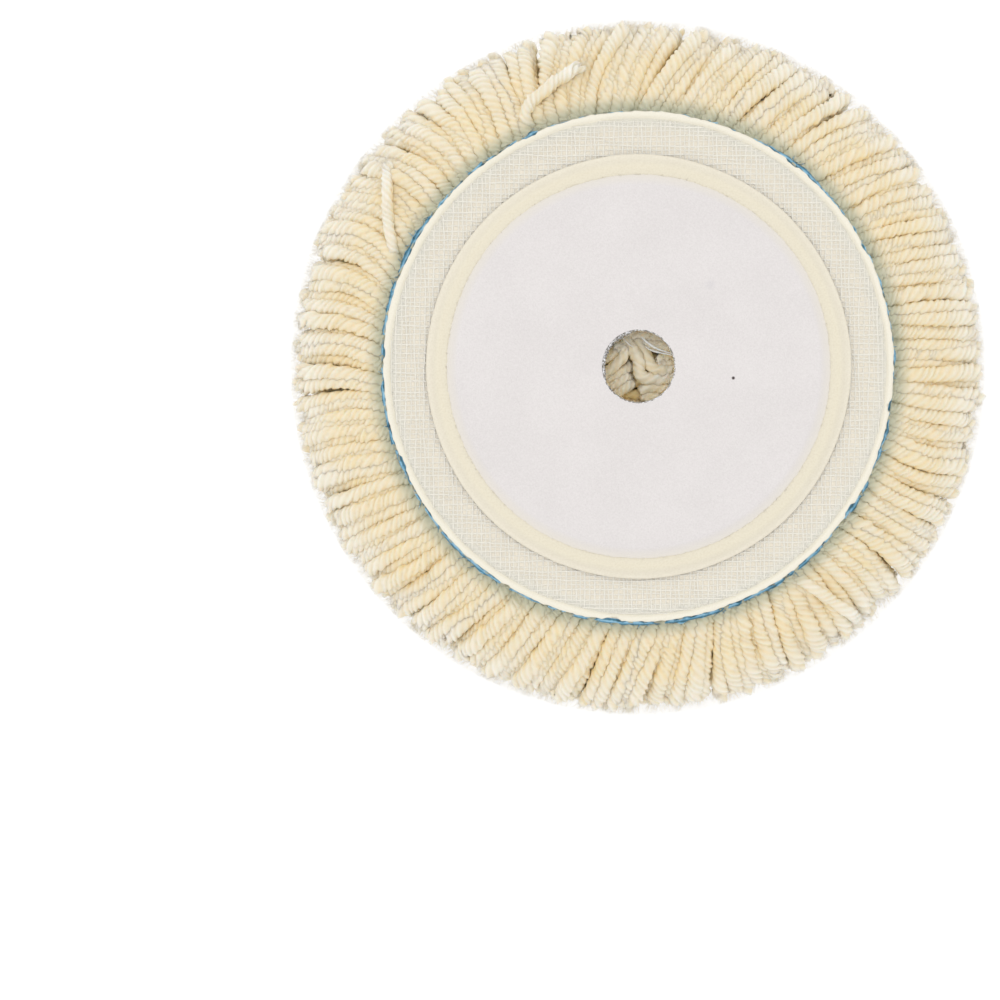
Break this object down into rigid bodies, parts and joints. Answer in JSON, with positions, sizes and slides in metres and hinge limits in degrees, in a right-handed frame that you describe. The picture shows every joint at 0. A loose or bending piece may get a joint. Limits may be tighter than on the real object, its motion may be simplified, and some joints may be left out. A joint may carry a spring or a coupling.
{
  "type": "polishing pad",
  "caption": "Round wool polishing pad with a hook-and-loop back, a centring hole and a fringe of twisted yarn.",
  "frame": {"origin": "on the supporting surface, under the middle of the pad, with the pad lying on its wool face", "axes": "+Z is the pad's spin axis, from the wool face to the hook-and-loop back; X and Y lie in the plane of the pad"},
  "size_m": [0.2048, 0.2048, 0.0384],
  "materials": {
    "wool_yarn": "four-ply twisted wool yarn, undyed cream with paler cut tips and golden shade between the yarns",
    "loop_fabric": "white brushed knitted loop fabric, matt with a soft fuzzy edge",
    "adhesive": "thin cream hot-melt adhesive layer",
    "interface_foam": "smooth cream moulded foam with a satin skin",
    "clear_film": "thin clear glossy plastic film",
    "scrim_thread": "fine white open grid of glossy threads",
    "latex": "cream latex coat with a rough cut rim",
    "woven_backing": "blue woven polypropylene tape with a frayed cut edge"
  },
  "bodies": {
    "root": {"loop_disc": "loop_fabric", "loop_adhesive": "adhesive", "interface_disc": "interface_foam", "stiffener_film": "clear_film", "scrim": "scrim_thread", "latex_coat": "latex", "primary_backing": "woven_backing", "pile_row_01": "wool_yarn", "pile_row_02": "wool_yarn", "pile_row_03": "wool_yarn", "pile_row_04": "wool_yarn", "pile_row_05": "wool_yarn", "pile_row_06": "wool_yarn", "pile_row_07": "wool_yarn", "pile_row_08": "wool_yarn", "pile_row_09": "wool_yarn", "pile_row_10": "wool_yarn", "pile_row_11": "wool_yarn", "pile_row_12": "wool_yarn", "pile_row_13": "wool_yarn", "pile_row_14": "wool_yarn"}
  },
  "joints": []
}
